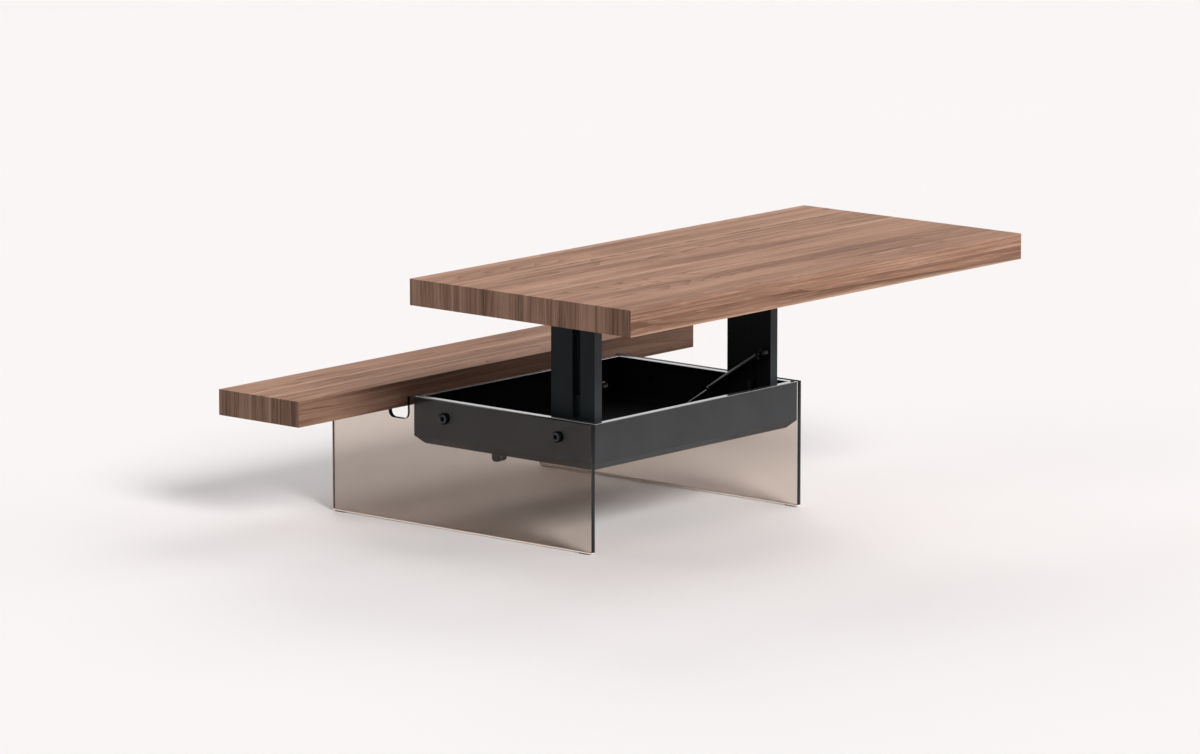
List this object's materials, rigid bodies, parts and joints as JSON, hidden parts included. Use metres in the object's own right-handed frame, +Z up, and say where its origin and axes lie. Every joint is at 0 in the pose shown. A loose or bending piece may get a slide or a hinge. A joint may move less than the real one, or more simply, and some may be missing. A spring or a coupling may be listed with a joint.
{
  "type": "sliding top coffee table",
  "caption": "Low walnut coffee table on glass side panels whose front top swings up and forward on folding arms with gas struts, over a metal storage tray.",
  "frame": {"origin": "on the floor, under the middle of the open table's bounding box", "axes": "+X along the table top, +Y to the rear where the fixed top is, +Z up"},
  "size_m": [1.4, 1.2436, 0.6492],
  "materials": {
    "walnut": "matt oiled veneer",
    "glass": "polished bronze tinted",
    "tray": "matt powder coat",
    "arm": "matt powder coat",
    "steel": "satin",
    "strut": "satin paint",
    "rod": "polished",
    "rubber": "matt",
    "bush": "matt"
  },
  "bodies": {
    "base": {"glass_panel_left": "glass", "glass_panel_right": "glass", "glass_foot_pads": "rubber", "glass_bolts": "steel", "glass_gaskets": "rubber", "glass_hole_bushes": "bush", "tray_bolt_nuts": "steel", "glass_channel_left": "steel", "glass_channel_right": "steel", "channel_screws": "steel", "fixed_top_board": "walnut", "fixed_top_front_apron": "walnut", "fixed_top_rear_apron": "walnut", "fixed_top_left_apron": "walnut", "fixed_top_right_apron": "walnut", "storage_tray": "tray", "rim_bumpers": "rubber", "pivot_plate_inner_left": "arm", "pivot_plate_inner_right": "arm", "pivot_plate_outer_left": "arm", "pivot_plate_outer_right": "arm", "pivot_plate_rivets": "steel", "lower_pivot_pins": "steel", "strut_anchor_left": "arm", "strut_anchor_right": "arm", "strut_anchor_pins": "steel"},
    "lift_top": {"lift_top_board": "walnut", "lift_top_front_apron": "walnut", "lift_top_rear_apron": "walnut", "lift_top_left_apron": "walnut", "lift_top_right_apron": "walnut", "lift_bracket_left": "arm", "lift_bracket_right": "arm", "lift_bracket_screws": "steel", "upper_pivot_pins": "steel"},
    "front_arm_left": {"front_arm_left": "arm", "front_arm_bushes_left": "bush", "strut_stud_left": "steel"},
    "rear_arm_left": {"rear_arm_left": "arm", "rear_arm_bushes_left": "bush"},
    "strut_rod_left": {"strut_rod_left": "rod"},
    "strut_barrel_left": {"strut_barrel_left": "strut", "strut_fitting_left": "strut"},
    "front_arm_right": {"front_arm_right": "arm", "front_arm_bushes_right": "bush", "strut_stud_right": "steel"},
    "rear_arm_right": {"rear_arm_right": "arm", "rear_arm_bushes_right": "bush"},
    "strut_rod_right": {"strut_rod_right": "rod"},
    "strut_barrel_right": {"strut_barrel_right": "strut", "strut_fitting_right": "strut"}
  },
  "joints": [
    {"name": "front_arm_left_hinge", "type": "hinge", "parent": "base", "child": "front_arm_left", "pos_m": [-0.314, -0.17523, 0.25821], "axis": [-1, 0, 0], "range_deg": [0, 87]},
    {"name": "front_arm_right_hinge", "type": "hinge", "parent": "base", "child": "front_arm_right", "pos_m": [0.314, -0.17523, 0.25821], "axis": [-1, 0, 0], "range_deg": [0, 87]},
    {"name": "rear_arm_left_hinge", "type": "hinge", "parent": "base", "child": "rear_arm_left", "pos_m": [-0.314, -0.10673, 0.23421], "axis": [-1, 0, 0], "range_deg": [0, 87]},
    {"name": "rear_arm_right_hinge", "type": "hinge", "parent": "base", "child": "rear_arm_right", "pos_m": [0.314, -0.10673, 0.23421], "axis": [-1, 0, 0], "range_deg": [0, 87]},
    {"name": "lift_top_hinge", "type": "hinge", "parent": "front_arm_left", "child": "lift_top", "pos_m": [-0.314, -0.17523, 0.59821], "axis": [-1, 0, 0], "range_deg": [-87, 0]},
    {"name": "strut_rod_left_hinge", "type": "hinge", "parent": "base", "child": "strut_rod_left", "pos_m": [-0.287, 0.12277, 0.172], "axis": [-1, 0, 0], "range_deg": [-3.45, 0]},
    {"name": "strut_barrel_left_slide", "type": "slide", "parent": "strut_rod_left", "child": "strut_barrel_left", "axis": [0, -0.8376, 0.5463], "range_m": [-0.1598, 0]},
    {"name": "strut_rod_right_hinge", "type": "hinge", "parent": "base", "child": "strut_rod_right", "pos_m": [0.287, 0.12277, 0.172], "axis": [-1, 0, 0], "range_deg": [-3.45, 0]},
    {"name": "strut_barrel_right_slide", "type": "slide", "parent": "strut_rod_right", "child": "strut_barrel_right", "axis": [0, -0.8376, 0.5463], "range_m": [-0.1598, 0]}
  ],
  "couplings": [
    {"joint": "front_arm_right_hinge", "follows": "front_arm_left_hinge", "ratio": 1},
    {"joint": "rear_arm_left_hinge", "follows": "front_arm_left_hinge", "ratio": 1},
    {"joint": "rear_arm_right_hinge", "follows": "front_arm_left_hinge", "ratio": 1},
    {"joint": "lift_top_hinge", "follows": "front_arm_left_hinge", "ratio": -1},
    {"joint": "strut_rod_left_hinge", "follows": "front_arm_left_hinge", "ratio": -0.039257},
    {"joint": "strut_barrel_left_slide", "follows": "front_arm_left_hinge", "m_per_rad": -0.10516},
    {"joint": "strut_rod_right_hinge", "follows": "front_arm_left_hinge", "ratio": -0.039257},
    {"joint": "strut_barrel_right_slide", "follows": "front_arm_left_hinge", "m_per_rad": -0.10516}
  ]
}
